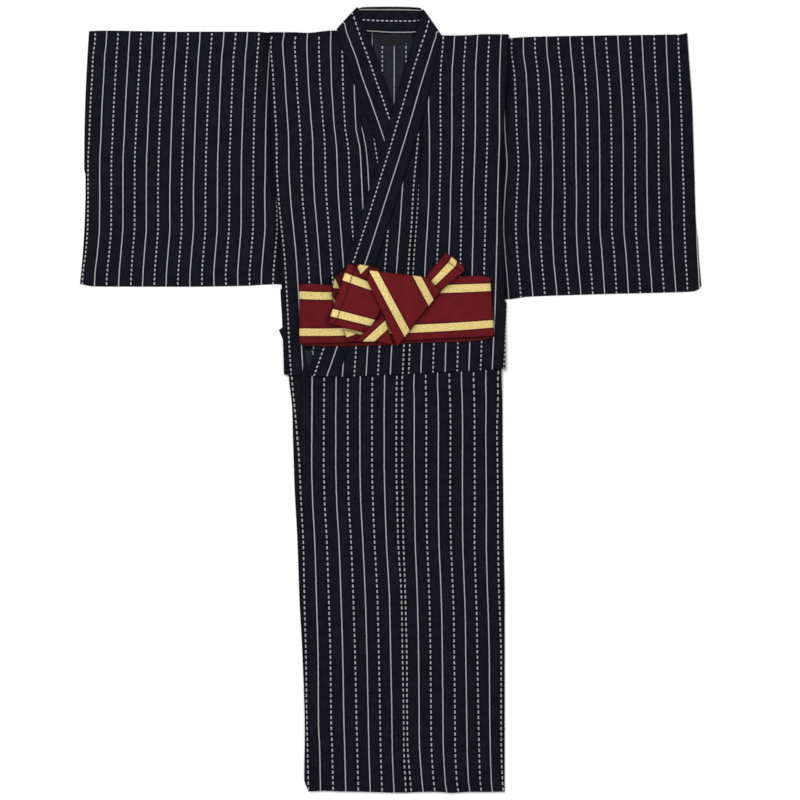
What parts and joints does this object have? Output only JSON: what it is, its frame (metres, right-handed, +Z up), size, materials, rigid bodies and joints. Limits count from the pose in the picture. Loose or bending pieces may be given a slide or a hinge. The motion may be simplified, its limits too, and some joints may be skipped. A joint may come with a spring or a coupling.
{
  "type": "kimono",
  "caption": "Pinstriped kimono laid flat, front up: wide square sleeves, crossed band collar, waist tuck and a striped tied obi lying on the waist.",
  "frame": {"origin": "middle of the garment's outline, on the surface that it lies on", "axes": "+X towards the wearer's left sleeve, +Y along the body from hem to neck, +Z up out of the front"},
  "size_m": [1.1776, 1.4906, 0.0214],
  "materials": {
    "striped_cloth": "matt plain weave, near-black navy with fine pale grey stripes, solid and broken by turns",
    "label_satin": "bare black woven satin",
    "obi_cloth": "firm crimson ribbed weave with two metallic gold stripes"
  },
  "bodies": {
    "root": {"body_right": "striped_cloth", "body_left": "striped_cloth", "overlap_right": "striped_cloth", "overlap_left": "striped_cloth", "sleeve_right": "striped_cloth", "sleeve_left": "striped_cloth", "collar": "striped_cloth", "neck_label": "label_satin", "obi_loop": "obi_cloth", "obi_knot_behind": "obi_cloth", "obi_knot_corner": "obi_cloth", "obi_end_short": "obi_cloth", "obi_end_long": "obi_cloth", "obi_knot_turn": "obi_cloth", "obi_knot_under": "obi_cloth", "obi_knot_wrap": "obi_cloth"}
  },
  "joints": []
}
